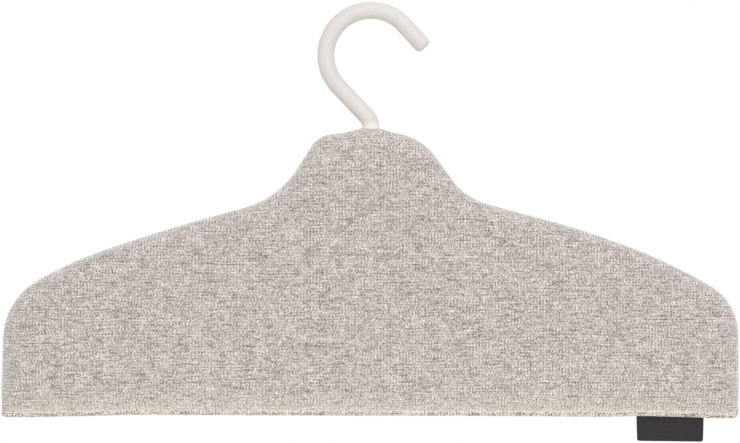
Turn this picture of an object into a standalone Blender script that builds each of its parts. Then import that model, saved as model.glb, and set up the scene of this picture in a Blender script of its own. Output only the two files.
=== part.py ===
# Padded steaming hanger: a hollow two-part hanger board between foam pads, inside a sewn fabric cover,
# hanging from a bent steel rod hook that swivels in a bush in the board's neck.
# Frame: metres, +Z up, -Y the front face, +X to the right seen from the front.
# The origin is the saddle, the lowest point of a rail that the hook hangs on.

import math

import bmesh
import bpy
from mathutils import Vector

MM = 0.001

# General clearances
TOUCH_GAP = 0.3 * MM          # between two pieces that rest on each other
SEAM_GAP = 0.3 * MM           # between the two cover panels, and between the two shells, at the middle plane
CUT_OVERRUN = 3.0 * MM        # how far a cutter runs past the wall that it cuts

# Cover outline, seen from the front. Heights are above the hem's corners.
COVER_WIDTH = 441.6 * MM
COVER_HEIGHT = 172.6 * MM
NECK_HALF_WIDTH = 30.5 * MM
NECK_TOP_FALL = 3.4 * MM      # from the neck's middle to its corners
NECK_BASE_HALF_WIDTH = 55.8 * MM
NECK_RISE = 41.8 * MM         # from where the flanks meet the shoulders up to the neck's top
SHOULDER_HEIGHT = 70.7 * MM   # of the shoulder's corner
SIDE_LEAN = 1.0 * MM          # the sides lean in this much at the shoulder's corner
HEM_RISE = 1.0 * MM           # the hem lies this much higher in the middle
NECK_CORNER_RADIUS = 30.0 * MM
NECK_CURVE_RADIUS = 50.0 * MM
SHOULDER_LINE_RADIUS = 650.0 * MM
SHOULDER_CORNER_RADIUS = 37.0 * MM
HEM_CORNER_RADIUS = 3.0 * MM
# Two bends of the shoulder line: shares of the way out and of the way down, from neck base to shoulder corner
SHOULDER_BEND_SHARES = ((0.42, 0.30), (0.72, 0.59))

# Cover in section
FABRIC_THICKNESS = 1.2 * MM
COVER_EDGE_RADIUS = 12.0 * MM  # depth over which the face rounds down to the side seam
HEM_LIP_HEIGHT = 4.0 * MM      # the two panels lie flat on each other over this height
HEM_LIP_THICKNESS = 2.2 * MM   # one panel with its turned-in edge
HEM_LIP_ROUND = 1.5 * MM
HEM_RUN = 14.0 * MM            # height over which the cover swells from the lip to its full thickness
HOOK_HOLE_CLEARANCE = 0.4 * MM
FLAT_FACE_MARGIN = 3.0 * MM    # past the last rounding, to the flat face
# Rings of a panel's outside, as shares of the inset at which its face is flat
FACE_RING_SHARES = (0.0, 0.03, 0.09, 0.17, 0.27, 0.42, 0.65, 1.0)
# Rings of its inside, as shares of the way from the seam to the board's edge, and from there to the flat face
SEAM_RING_SHARES = (0.0, 0.25)
PAD_RING_SHARES = (0.0, 0.12, 0.4, 1.0)

# Pads
PAD_THICKNESS = 4.0 * MM
PAD_EDGE_THICKNESS = 0.6 * MM

# Board: two shells that meet at the middle plane
CORE_PLATE = 1.8 * MM
CORE_WALL = 2.0 * MM
CORE_CHAMFER = 1.0 * MM
BUSH_FACE_WALL = 1.5 * MM      # between the bush's flange and the board's face
RIB_THICKNESS = 1.6 * MM
RIB_SETBACK = 0.6 * MM         # tall ribs end this far short of the shell's rim
CROSS_RIB_SETBACK = 1.4 * MM
RIB_PITCH = 40.0 * MM
LOW_CROSS_RIB_HEIGHT = 46.0 * MM   # above the hem
HIGH_CROSS_RIB_HEIGHT = 84.0 * MM
CHAMBER_HALF_WIDTH = 17.0 * MM     # between the ribs beside the lock nut

# Screws that hold the shells together, put in from the rear
SCREW_RADIUS = 1.5 * MM
SCREW_HEAD_RADIUS = 3.0 * MM
SCREW_HEAD_HEIGHT = 2.4 * MM
SCREW_HEAD_ROUND = 0.8 * MM
SCREW_END_ROOM = 0.8 * MM      # from the screw's tip to the front shell's plate
SCREW_POINT = 1.6 * MM
SCREW_TIP_RADIUS = 0.5 * MM
SCREW_RECESS_DEPTH = 1.2 * MM
SCREW_RECESS_WIDTH = 0.9 * MM
SCREW_RECESS_SPAN = 3.4 * MM
SCREW_SINK = 0.8 * MM          # the head lies this much below the rear face
BOSS_WALL = 1.8 * MM
BOSS_SETBACK = 0.15 * MM       # bosses end this far short of the shell's rim
# Places of the screws: share of the board's half width, and share of the cover's height
SCREW_PLACE_SHARES = (
    (-0.83, 0.15), (-0.41, 0.15), (0.0, 0.15), (0.41, 0.15), (0.83, 0.15),
    (-0.59, 0.42), (-0.17, 0.56), (0.17, 0.56), (0.59, 0.42),
)

# Hook, a bent rod with a turned-down spigot
ROD_RADIUS = 5.1 * MM
BOWL_RADIUS = 27.0 * MM        # of the rod's centre line
SWAN_RADIUS = 11.0 * MM        # of the lower bend's centre line
SWAN_ANGLE = math.radians(46.5)   # slope of the straight between bowl and lower bend
TIP_ANGLE = math.radians(47.5)    # slope of the straight tip
TIP_LENGTH = 18.6 * MM
TIP_ROUND = 1.5 * MM
NECK_ABOVE_COVER = 0.9 * MM    # the rod's bend ends this far above the cover
SPIGOT_STEP = 2.1 * MM         # the rod is turned down by this much all round
SPIGOT_CHAMFER = 0.5 * MM
SPIGOT_PAST_NUT = 2.0 * MM

# Bush, washer and lock nut in the neck
BUSH_WALL = 1.1 * MM
BUSH_FLANGE_RIM = 1.1 * MM     # past the rod, which bears on the flange
BUSH_FLANGE_THICKNESS = 1.4 * MM
BUSH_COLLAR_RIM = 1.3 * MM     # past the bush's body, to hold the bush in the block
BUSH_COLLAR_THICKNESS = 3.0 * MM
BUSH_COLLAR_DEPTH = 7.0 * MM   # from the bush's top to the collar's top
BUSH_LENGTH = 17.0 * MM
WASHER_RIM = 1.1 * MM          # past the bush's body, so that the washer bears on the block
WASHER_THICKNESS = 1.2 * MM
NUT_WALL = 1.7 * MM            # from the nut's bore to its flats
NUT_HEIGHT = 5.0 * MM
NUT_COLLAR_WALL = 1.0 * MM
NUT_COLLAR_HEIGHT = 1.4 * MM
NECK_BLOCK_WALL = 5.0 * MM     # material beside the bush's flange
BLOCK_SETBACK = 0.3 * MM       # the block ends this far short of the shell's rim
CHAMBER_ROOM = 8.0 * MM        # free height in the board under the spigot

# Label, a folded ribbon caught in the hem
LABEL_WIDTH = 40.0 * MM
LABEL_DROP = 14.2 * MM         # below the hem
LABEL_TAIL_ROOM = 0.6 * MM     # from the label's end to the top of the hem's lip
LABEL_FROM_SIDE = 21.8 * MM    # to the left of the cover's right side
RIBBON_THICKNESS = 0.4 * MM
RIBBON_GAP = 0.3 * MM          # inside the fold
LABEL_FOLD_STEPS = 4

BEND_STEPS = 6                 # of a rounded corner
SLIGHT_BEND_STEPS = 2
SMALL_CORNER_STEPS = 3
BOWL_STEPS = 22
TANGENT_SHARE = 0.49           # of an edge that a rounded corner may take up
# Points at the foot of the sides, as shares of the way up to where the hem's swell meets the side's rounding
SIDE_STEP_SHARES = (1.0, 0.6, 0.3)
ROD_SIDES = 16
TURNED_SIDES = 24
SCREW_SIDES = 12

# What the values above give
rod_saddle = BOWL_RADIUS - ROD_RADIUS
bowl_centre = Vector((0, 0, -rod_saddle))
swan_drop = (
    BOWL_RADIUS * math.cos(SWAN_ANGLE)
    + math.tan(SWAN_ANGLE) * (BOWL_RADIUS * math.sin(SWAN_ANGLE) - SWAN_RADIUS * (1 - math.sin(SWAN_ANGLE)))
    + SWAN_RADIUS * math.cos(SWAN_ANGLE)
)
rod_bend_end = bowl_centre.z - swan_drop
cover_top = rod_bend_end - NECK_ABOVE_COVER
hem_level = cover_top - COVER_HEIGHT
rim = SEAM_GAP / 2
spigot_radius = ROD_RADIUS - SPIGOT_STEP
spigot_bore = spigot_radius + TOUCH_GAP
bush_radius = spigot_bore + BUSH_WALL
flange_radius = ROD_RADIUS + BUSH_FLANGE_RIM
collar_radius = bush_radius + BUSH_COLLAR_RIM
core_depth = flange_radius + TOUCH_GAP + BUSH_FACE_WALL
pad_face = core_depth + TOUCH_GAP
lining_depth = pad_face + PAD_THICKNESS + TOUCH_GAP - rim
cover_depth = lining_depth + FABRIC_THICKNESS
lining_round = COVER_EDGE_RADIUS - FABRIC_THICKNESS
lining_run = HEM_RUN - FABRIC_THICKNESS
lining_hem = HEM_LIP_HEIGHT + FABRIC_THICKNESS

# The board's edge lies where the lining leaves room for the pad's edge
edge_depth_share = (pad_face + PAD_EDGE_THICKNESS + TOUCH_GAP - rim) / lining_depth
edge_round_share = 1 - math.sqrt(1 - edge_depth_share ** 2)
core_inset = FABRIC_THICKNESS + edge_round_share * lining_round
core_hem_inset = lining_hem + edge_round_share * lining_run
core_half_width = COVER_WIDTH / 2 - core_inset
core_top = cover_top - core_inset
flat_inset = max(COVER_EDGE_RADIUS, HEM_LIP_HEIGHT + HEM_RUN) + FLAT_FACE_MARGIN

bush_bottom = core_top - BUSH_LENGTH
washer_top = bush_bottom - TOUCH_GAP
nut_top = washer_top - WASHER_THICKNESS - TOUCH_GAP
nut_bottom = nut_top - NUT_HEIGHT - NUT_COLLAR_HEIGHT
spigot_bottom = nut_bottom - SPIGOT_PAST_NUT
chamber_bottom = spigot_bottom - CHAMBER_ROOM
screw_hole_radius = SCREW_RADIUS + TOUCH_GAP
screw_head_way = SCREW_HEAD_RADIUS + TOUCH_GAP
screw_seat = core_depth - SCREW_SINK - SCREW_HEAD_HEIGHT
screw_tip = core_depth - CORE_PLATE - SCREW_END_ROOM
label_right = COVER_WIDTH / 2 - LABEL_FROM_SIDE
label_top = hem_level + HEM_LIP_HEIGHT - LABEL_TAIL_ROOM
label_half = RIBBON_THICKNESS + RIBBON_GAP / 2


def clear_scene():
    for old in list(bpy.data.objects):
        bpy.data.objects.remove(old)


def make_material(name, colour, roughness, metallic=0.0):
    material = bpy.data.materials.new(name)
    material.use_nodes = True
    shader = material.node_tree.nodes["Principled BSDF"]
    shader.inputs["Base Color"].default_value = (*colour, 1.0)
    shader.inputs["Roughness"].default_value = roughness
    shader.inputs["Metallic"].default_value = metallic
    return material


def add_object(name, mesh, material=None, parent=None, smooth=False):
    solid = bpy.data.objects.new(name, mesh)
    bpy.context.scene.collection.objects.link(solid)
    if material:
        mesh.materials.append(material)
    if smooth:
        mesh.shade_smooth()
        mesh.set_sharp_from_angle(angle=math.radians(35))
    solid.parent = parent
    return solid


def ring_mesh(name, rings, closed=False):
    """A skin over rings of equally many points, capped at its ends, or closed onto its first ring."""
    bm = bmesh.new()
    rows = [[bm.verts.new(point) for point in ring] for ring in rings]
    count = len(rows[0])
    pairs = list(zip(rows[:-1], rows[1:]))
    if closed:
        pairs.append((rows[-1], rows[0]))
    for low, high in pairs:
        for i in range(count):
            j = (i + 1) % count
            bm.faces.new((low[i], low[j], high[j], high[i]))
    if not closed:
        bm.faces.new(rows[0][::-1])
        bm.faces.new(rows[-1])
    bmesh.ops.recalc_face_normals(bm, faces=bm.faces)
    mesh = bpy.data.meshes.new(name)
    bm.to_mesh(mesh)
    bm.free()
    return mesh


def turned_rings(profile, sides):
    """Rings round the Z axis for a profile of (radius, height)."""
    rings = []
    for radius, height in profile:
        angles = (2 * math.pi * k / sides for k in range(sides))
        rings.append([Vector((radius * math.cos(a), radius * math.sin(a), height)) for a in angles])
    return rings


def box_mesh(name, low, high):
    bottom = [(low[0], low[1]), (high[0], low[1]), (high[0], high[1]), (low[0], high[1])]
    return ring_mesh(name, [[Vector((x, y, z)) for x, y in bottom] for z in (low[2], high[2])])


def add_helper(name, mesh):
    """A cutter or a shape to be joined: it shapes other pieces, and isn't one itself."""
    helper = add_object(name, mesh)
    helper.hide_render = True
    helper.display_type = "WIRE"
    return helper


def combine(target, other, operation):
    modifier = target.modifiers.new(other.name, "BOOLEAN")
    modifier.operation = operation
    modifier.object = other
    modifier.solver = "EXACT"


# Outline

def half_corners():
    """Corners of the right half, from the neck's middle to the hem's middle, as (point, radius, steps).

    Heights are above the hem's corners."""
    neck_base = Vector((NECK_BASE_HALF_WIDTH, COVER_HEIGHT - NECK_RISE))
    shoulder = Vector((COVER_WIDTH / 2 - SIDE_LEAN, SHOULDER_HEIGHT))
    bends = []
    for out, down in SHOULDER_BEND_SHARES:
        x = neck_base.x + out * (shoulder.x - neck_base.x)
        y = neck_base.y + down * (shoulder.y - neck_base.y)
        bends.append((Vector((x, y)), SHOULDER_LINE_RADIUS, SLIGHT_BEND_STEPS))
    return [
        (Vector((0, COVER_HEIGHT)), 0, 0),
        (Vector((NECK_HALF_WIDTH, COVER_HEIGHT - NECK_TOP_FALL)), NECK_CORNER_RADIUS, BEND_STEPS),
        (neck_base, NECK_CURVE_RADIUS, BEND_STEPS),
        *bends,
        (shoulder, SHOULDER_CORNER_RADIUS, BEND_STEPS),
        (Vector((COVER_WIDTH / 2, 0)), HEM_CORNER_RADIUS, SMALL_CORNER_STEPS),
        (Vector((0, HEM_RISE)), 0, 0),
    ]


def crossing(a, along_a, b, along_b):
    """Where the line through a meets the line through b."""
    turn = along_a.x * along_b.y - along_a.y * along_b.x
    gap = b - a
    return a + along_a * ((gap.x * along_b.y - gap.y * along_b.x) / turn)


def inset_corners(inset, hem_inset):
    """The half outline's corners, moved in by inset, and by hem_inset along the hem."""
    corners = half_corners()
    hem_corner = len(corners) - 2
    edges = []
    for k in range(len(corners) - 1):
        start, end = corners[k][0], corners[k + 1][0]
        along = (end - start).normalized()
        inward = Vector((along.y, -along.x))
        edges.append((start + inward * (hem_inset if k == hem_corner else inset), along))
    middle, upright = Vector((0, 0)), Vector((0, 1))
    moved = [(crossing(middle, upright, *edges[0]), 0, 0)]
    for k in range(1, len(corners) - 1):
        (_, radius, steps), before, after = corners[k], edges[k - 1], edges[k]
        convex = before[1].x * after[1].y - before[1].y * after[1].x < 0
        shift = max(min(inset, hem_inset), 0) if k == hem_corner else inset
        radius = max(radius - shift if convex else radius + shift, FABRIC_THICKNESS)
        moved.append((crossing(*before, *after), radius, steps))
    moved.append((crossing(middle, upright, *edges[-1]), 0, 0))
    return moved


def rounded_corner(before, corner, after):
    """Points of the arc that rounds a corner between two others, as many for every radius."""
    (tip, radius, steps) = corner
    back, ahead = before[0] - tip, after[0] - tip
    opening = back.angle(ahead)
    reach = TANGENT_SHARE * min(back.length, ahead.length)
    tangent = min(radius / math.tan(opening / 2), reach)
    radius = tangent * math.tan(opening / 2)
    back.normalize()
    ahead.normalize()
    centre = tip + (back + ahead).normalized() * (radius / math.sin(opening / 2))
    start, end = tip + back * tangent - centre, tip + ahead * tangent - centre
    swing = start.angle(end)
    points = []
    for k in range(steps + 1):
        share = k / steps
        turned = start * math.sin((1 - share) * swing) + end * math.sin(share * swing)
        points.append(centre + turned / math.sin(swing))
    return points


def side_foot(above, below, inset):
    """Points near the foot of a side, up to where the hem's swell meets the side's rounding."""
    crease = HEM_LIP_HEIGHT + inset * HEM_RUN / COVER_EDGE_RADIUS
    rise = max(crease - below.y, HEM_CORNER_RADIUS)
    return [below.lerp(above, share * rise / (above.y - below.y)) for share in SIDE_STEP_SHARES]


def outline(inset=0, hem_inset=None):
    """The closed outline in the XZ plane, as (x, z) in the part's frame."""
    corners = inset_corners(inset, inset if hem_inset is None else hem_inset)
    right = [corners[0][0]]
    for before, corner, after in zip(corners, corners[1:], corners[2:]):
        arc = rounded_corner(before, corner, after)
        if after is corners[-1]:
            right += side_foot(right[-1], arc[0], inset)
        right += arc
    right.append(corners[-1][0])
    left = [Vector((-p.x, p.y)) for p in right[-2:0:-1]]
    return [Vector((p.x, p.y + hem_level)) for p in right + left]


def level_ring(points, depth):
    """An outline's points at one depth, which is the distance from the middle plane."""
    return [Vector((p.x, depth, p.y)) for p in points]


# Cover and pads

def distance_to_sides(point, sides):
    """Distance from a point to the nearest stretch of a closed outline."""
    nearest = math.inf
    for a, b in zip(sides, sides[1:] + sides[:1]):
        along = b - a
        share = min(max((point - a).dot(along) / along.length_squared, 0), 1)
        nearest = min(nearest, (point - a - along * share).length)
    return nearest


def cover_sides():
    """The cover's outline with its hem moved down, so that only the sides and the top are near."""
    return outline(0, -2 * COVER_EDGE_RADIUS)


def over_hem(point):
    rise = HEM_RISE * (1 - min(abs(point.x) / (COVER_WIDTH / 2), 1))
    return point.y - hem_level - rise


def quarter_round(share):
    share = min(max(share, 0), 1)
    return math.sqrt(1 - (1 - share) ** 2)


def face_depth(point, sides):
    """Depth of the cover's outside over its seam plane: its swell, or the flat lip at the hem."""
    side, hem = distance_to_sides(point, sides), over_hem(point)
    swell = min(quarter_round(side / COVER_EDGE_RADIUS), quarter_round((hem - HEM_LIP_HEIGHT) / HEM_RUN))
    lip = min(quarter_round(side / HEM_LIP_ROUND), quarter_round(hem / HEM_LIP_ROUND))
    return max(cover_depth * swell, HEM_LIP_THICKNESS * lip)


def inside_depth(point, sides):
    """Depth of the cover's inside over its seam plane."""
    side = (distance_to_sides(point, sides) - FABRIC_THICKNESS) / lining_round
    hem = (over_hem(point) - lining_hem) / lining_run
    return lining_depth * min(quarter_round(side), quarter_round(hem))


def between(start, end, share):
    return tuple(a + share * (b - a) for a, b in zip(start, end))


def pad_insets():
    """Insets of the pad's rings from the cover's sides and from its hem."""
    edge, flat = (core_inset, core_hem_inset), (flat_inset, flat_inset)
    return [between(edge, flat, share) for share in PAD_RING_SHARES]


def lining_insets():
    """Insets of the rings of the cover's inside, from its seam inwards. The last ones are the pad's."""
    seam, edge = (FABRIC_THICKNESS, lining_hem), (core_inset, core_hem_inset)
    return [between(seam, edge, share) for share in SEAM_RING_SHARES] + pad_insets()


def make_cover_panel(name, side, material, parent, cutters):
    """One panel of the cover. side is -1 for the front and 1 for the rear."""
    sides = cover_sides()
    outside, inside = [], []
    for share in reversed(FACE_RING_SHARES):
        ring = outline(share * flat_inset)
        outside.append([Vector((p.x, side * (rim + face_depth(p, sides)), p.y)) for p in ring])
    seam, *lining = lining_insets()
    inside.append(level_ring(outline(*seam), side * rim))
    for insets in lining:
        ring = outline(*insets)
        inside.append([Vector((p.x, side * (rim + inside_depth(p, sides)), p.y)) for p in ring])
    panel = add_object(name, ring_mesh(name, outside + inside), material, parent, smooth=True)
    for cutter in cutters:
        combine(panel, cutter, "DIFFERENCE")
    return panel


def make_pad(name, side, material, parent):
    """A foam pad between a shell and its cover panel, thinner towards its edge."""
    sides = cover_sides()
    rings = [level_ring(outline(core_inset, core_hem_inset), side * pad_face)]
    for insets in pad_insets():
        ring = outline(*insets)
        rings.append([Vector((p.x, side * (rim + inside_depth(p, sides) - TOUCH_GAP), p.y)) for p in ring])
    return add_object(name, ring_mesh(name, rings), material, parent, smooth=True)


# Board

def shell_tray(side):
    outer = outline(core_inset, core_hem_inset)
    faced = outline(core_inset + CORE_CHAMFER, core_hem_inset + CORE_CHAMFER)
    inner = outline(core_inset + CORE_WALL, core_hem_inset + CORE_WALL)
    rings = [
        level_ring(faced, side * core_depth),
        level_ring(outer, side * (core_depth - CORE_CHAMFER)),
        level_ring(outer, side * rim),
        level_ring(inner, side * rim),
        level_ring(inner, side * (core_depth - CORE_PLATE)),
    ]
    return ring_mesh("shell_tray", rings)


def upright_rib(x, low, high, floor):
    half = RIB_THICKNESS / 2
    return (x - half, rim + RIB_SETBACK, low), (x + half, floor, high)


def rib_boxes():
    """Low and high corner of each rib on the rear side, and of the block that holds the bush."""
    floor = core_depth - CORE_PLATE / 2
    cross_levels = [hem_level + height for height in (LOW_CROSS_RIB_HEIGHT, HIGH_CROSS_RIB_HEIGHT)]
    boxes = []
    reach = math.floor(core_half_width / RIB_PITCH)
    for k in range(-reach, reach + 1):
        top = chamber_bottom if k == 0 else cover_top
        boxes.append(upright_rib(k * RIB_PITCH, hem_level, top, floor))
    for x in (-CHAMBER_HALF_WIDTH, CHAMBER_HALF_WIDTH):
        boxes.append(upright_rib(x, cross_levels[-1], cover_top, floor))
    for level in cross_levels:
        low = (-core_half_width, rim + CROSS_RIB_SETBACK, level - RIB_THICKNESS / 2)
        boxes.append((low, (core_half_width, floor, level + RIB_THICKNESS / 2)))
    block = flange_radius + TOUCH_GAP + NECK_BLOCK_WALL
    boxes.append(((-block, rim + BLOCK_SETBACK, bush_bottom), (block, floor, cover_top)))
    return boxes


def facing_side(low, high, side):
    """The box on the front or rear side of the middle plane."""
    near, far = sorted((side * low[1], side * high[1]))
    return (low[0], near, low[2]), (high[0], far, high[2])


def bush_way():
    """The space for bush and flange, as a turned cutter, with room for the collar."""
    flange, body, collar = (r + TOUCH_GAP for r in (flange_radius, bush_radius, collar_radius))
    flange_seat = core_top - BUSH_FLANGE_THICKNESS - TOUCH_GAP
    collar_top = core_top - BUSH_COLLAR_DEPTH + TOUCH_GAP
    collar_bottom = core_top - BUSH_COLLAR_DEPTH - BUSH_COLLAR_THICKNESS - TOUCH_GAP
    profile = [
        (flange, core_top + CUT_OVERRUN),
        (flange, flange_seat),
        (body, flange_seat),
        (body, collar_top),
        (collar, collar_top),
        (collar, collar_bottom),
        (body, collar_bottom),
        (body, bush_bottom - CUT_OVERRUN),
    ]
    return ring_mesh("bush_way", turned_rings(profile, TURNED_SIDES))


def screw_places():
    return [
        (across * core_half_width, hem_level + up * COVER_HEIGHT)
        for across, up in SCREW_PLACE_SHARES
    ]


def depth_rings(profile, sides, x, z, side=1):
    """Rings round a line along Y through (x, z), for a profile of (radius, depth)."""
    return [
        [Vector((x + p.x, side * depth, z + p.y)) for p in ring]
        for (radius, depth), ring in zip(profile, turned_rings(profile, sides))
    ]


def screw_way(side):
    """The space for a screw as (radius, depth), through the rear shell and blind in the front one."""
    if side < 0:
        return [(screw_hole_radius, rim - CUT_OVERRUN), (screw_hole_radius, screw_tip + TOUCH_GAP)]
    seat = screw_seat - TOUCH_GAP
    return [
        (screw_hole_radius, rim - CUT_OVERRUN),
        (screw_hole_radius, seat),
        (screw_head_way, seat),
        (screw_head_way, core_depth + CUT_OVERRUN),
    ]


def make_shell(name, side, material, parent, bounds, bush_cutter):
    shell = add_object(name, shell_tray(side), material, parent)
    ribs = []
    for k, (low, high) in enumerate(rib_boxes()):
        ribs.append(add_helper(f"{name}_rib_{k}", box_mesh("rib", *facing_side(low, high, side))))
    frame = ribs[0]
    for rib in ribs[1:]:
        combine(frame, rib, "UNION")
    combine(frame, bounds, "INTERSECT")
    combine(shell, frame, "UNION")
    boss_radius = screw_head_way + BOSS_WALL
    boss_profile = [(boss_radius, rim + BOSS_SETBACK), (boss_radius, core_depth - CORE_PLATE / 2)]
    for k, (x, z) in enumerate(screw_places()):
        boss = ring_mesh("boss", depth_rings(boss_profile, TURNED_SIDES, x, z, side))
        way = ring_mesh("screw_way", depth_rings(screw_way(side), SCREW_SIDES, x, z, side))
        combine(shell, add_helper(f"{name}_boss_{k}", boss), "UNION")
        combine(shell, add_helper(f"{name}_screw_way_{k}", way), "DIFFERENCE")
    combine(shell, bush_cutter, "DIFFERENCE")
    return shell


def make_screw(name, x, z, material, parent):
    """A pan head screw with a cross recess, its axis along Y and its head at the rear."""
    head_top = screw_seat + SCREW_HEAD_HEIGHT
    tip = -screw_tip
    profile = [
        (SCREW_HEAD_RADIUS - SCREW_HEAD_ROUND, head_top),
        (SCREW_HEAD_RADIUS, head_top - SCREW_HEAD_ROUND),
        (SCREW_HEAD_RADIUS, screw_seat),
        (SCREW_RADIUS, screw_seat),
        (SCREW_RADIUS, tip + SCREW_POINT),
        (SCREW_TIP_RADIUS, tip),
    ]
    mesh = ring_mesh(name, depth_rings(profile, SCREW_SIDES, x, z))
    screw = add_object(name, mesh, material, parent, smooth=True)
    long, short = SCREW_RECESS_SPAN / 2, SCREW_RECESS_WIDTH / 2
    bottom, top = head_top - SCREW_RECESS_DEPTH, head_top + CUT_OVERRUN
    corners = [
        (short, long), (short, short), (long, short), (long, -short), (short, -short), (short, -long),
        (-short, -long), (-short, -short), (-long, -short), (-long, short), (-short, short), (-short, long),
    ]
    recess = ring_mesh("recess", [[Vector((x + u, y, z + v)) for u, v in corners] for y in (bottom, top)])
    combine(screw, add_helper(f"{name}_recess", recess), "DIFFERENCE")
    return screw


# Hook and its bearing

def on_circle(centre, radius, angle):
    """The point at an angle from straight up, positive to the right."""
    return centre + radius * Vector((math.sin(angle), 0, math.cos(angle)))


def hook_path():
    """The rod's centre line from its tip to the spigot's end, as (point, direction, radius)."""
    path = []
    outward = Vector((math.cos(TIP_ANGLE), 0, -math.sin(TIP_ANGLE)))
    tip_end = on_circle(bowl_centre, BOWL_RADIUS, TIP_ANGLE) + outward * TIP_LENGTH
    for back in (0, TIP_ROUND / 3, TIP_ROUND):
        radius = ROD_RADIUS - TIP_ROUND + math.sqrt(TIP_ROUND * back)
        path.append((tip_end - outward * back, -outward, radius))
    bowl_sweep = TIP_ANGLE + math.pi - SWAN_ANGLE
    for k in range(BOWL_STEPS + 1):
        angle = TIP_ANGLE - bowl_sweep * k / BOWL_STEPS
        direction = Vector((-math.cos(angle), 0, math.sin(angle)))
        path.append((on_circle(bowl_centre, BOWL_RADIUS, angle), direction, ROD_RADIUS))
    swan_centre = Vector((-SWAN_RADIUS, 0, rod_bend_end))
    for k in range(BEND_STEPS + 1):
        angle = SWAN_ANGLE + (math.pi / 2 - SWAN_ANGLE) * k / BEND_STEPS
        direction = Vector((math.cos(angle), 0, -math.sin(angle)))
        path.append((on_circle(swan_centre, SWAN_RADIUS, angle), direction, ROD_RADIUS))
    down = Vector((0, 0, -1))
    seat = core_top + TOUCH_GAP
    for height, radius in (
        (seat, ROD_RADIUS),
        (seat, spigot_radius),
        (spigot_bottom + SPIGOT_CHAMFER, spigot_radius),
        (spigot_bottom, spigot_radius - SPIGOT_CHAMFER),
    ):
        path.append((Vector((0, 0, height)), down, radius))
    return path


def make_hook(material, parent):
    across = Vector((0, 1, 0))
    rings = []
    for point, direction, radius in hook_path():
        outward = direction.cross(across)
        rings.append([
            point + radius * (math.cos(a) * outward + math.sin(a) * across)
            for a in (2 * math.pi * k / ROD_SIDES for k in range(ROD_SIDES))
        ])
    return add_object("hook", ring_mesh("hook", rings), material, parent, smooth=True)


def make_bush(material, parent):
    collar_top = core_top - BUSH_COLLAR_DEPTH
    profile = [
        (spigot_bore, core_top),
        (flange_radius, core_top),
        (flange_radius, core_top - BUSH_FLANGE_THICKNESS),
        (bush_radius, core_top - BUSH_FLANGE_THICKNESS),
        (bush_radius, collar_top),
        (collar_radius, collar_top),
        (collar_radius, collar_top - BUSH_COLLAR_THICKNESS),
        (bush_radius, collar_top - BUSH_COLLAR_THICKNESS),
        (bush_radius, bush_bottom),
        (spigot_bore, bush_bottom),
    ]
    mesh = ring_mesh("swivel_bush", turned_rings(profile, TURNED_SIDES), closed=True)
    return add_object("swivel_bush", mesh, material, parent, smooth=True)


def make_washer(material, parent):
    radius = bush_radius + WASHER_RIM
    low = washer_top - WASHER_THICKNESS
    profile = [(spigot_bore, washer_top), (radius, washer_top), (radius, low), (spigot_bore, low)]
    mesh = ring_mesh("thrust_washer", turned_rings(profile, TURNED_SIDES), closed=True)
    return add_object("thrust_washer", mesh, material, parent, smooth=True)


def hexagon_ring(flat, height):
    """A hexagon round the Z axis, flat from its middle, with as many points as a turned ring."""
    ring = []
    for k in range(TURNED_SIDES):
        angle = 2 * math.pi * k / TURNED_SIDES
        reach = flat / math.cos(angle % math.radians(60) - math.radians(30))
        ring.append(Vector((reach * math.cos(angle), reach * math.sin(angle), height)))
    return ring


def make_lock_nut(material, parent):
    flat, collar = spigot_bore + NUT_WALL, spigot_bore + NUT_COLLAR_WALL
    hexagon_bottom = nut_top - NUT_HEIGHT
    collar_profile = [(collar, hexagon_bottom), (collar, nut_bottom), (spigot_bore, nut_bottom)]
    rings = [
        *turned_rings([(spigot_bore, nut_top)], TURNED_SIDES),
        hexagon_ring(flat, nut_top),
        hexagon_ring(flat, hexagon_bottom),
        *turned_rings(collar_profile, TURNED_SIDES),
    ]
    return add_object("lock_nut", ring_mesh("lock_nut", rings, closed=True), material, parent)


# Label

def label_section():
    """The folded ribbon seen from its end, as (depth, height)."""
    fold_centre = hem_level - LABEL_DROP + label_half
    gap = RIBBON_GAP / 2
    angles = [math.pi * k / LABEL_FOLD_STEPS for k in range(LABEL_FOLD_STEPS + 1)]
    outside = [(label_half * math.cos(a), fold_centre - label_half * math.sin(a)) for a in angles]
    inside = [(gap * math.cos(a), fold_centre - gap * math.sin(a)) for a in reversed(angles)]
    outside = [(label_half, label_top), *outside, (-label_half, label_top)]
    inside = [(-gap, label_top), *inside, (gap, label_top)]
    return outside + inside


def make_label(material, parent):
    rings = []
    for x in (label_right - LABEL_WIDTH, label_right):
        rings.append([Vector((x, y, z)) for y, z in label_section()])
    return add_object("label", ring_mesh("label", rings), material, parent)


def label_pocket():
    """The slot in the hem that the label's tail goes into."""
    deep = label_half + TOUCH_GAP
    low = (label_right - LABEL_WIDTH - TOUCH_GAP, -deep, hem_level - CUT_OVERRUN)
    high = (label_right + TOUCH_GAP, deep, label_top + TOUCH_GAP)
    return box_mesh("label_pocket", low, high)


def hook_hole():
    """The opening in the cover's top that the rod passes through."""
    radius = ROD_RADIUS + HOOK_HOLE_CLEARANCE
    profile = [(radius, cover_top + CUT_OVERRUN), (radius, core_top + TOUCH_GAP)]
    return ring_mesh("hook_hole", turned_rings(profile, TURNED_SIDES))


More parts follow.
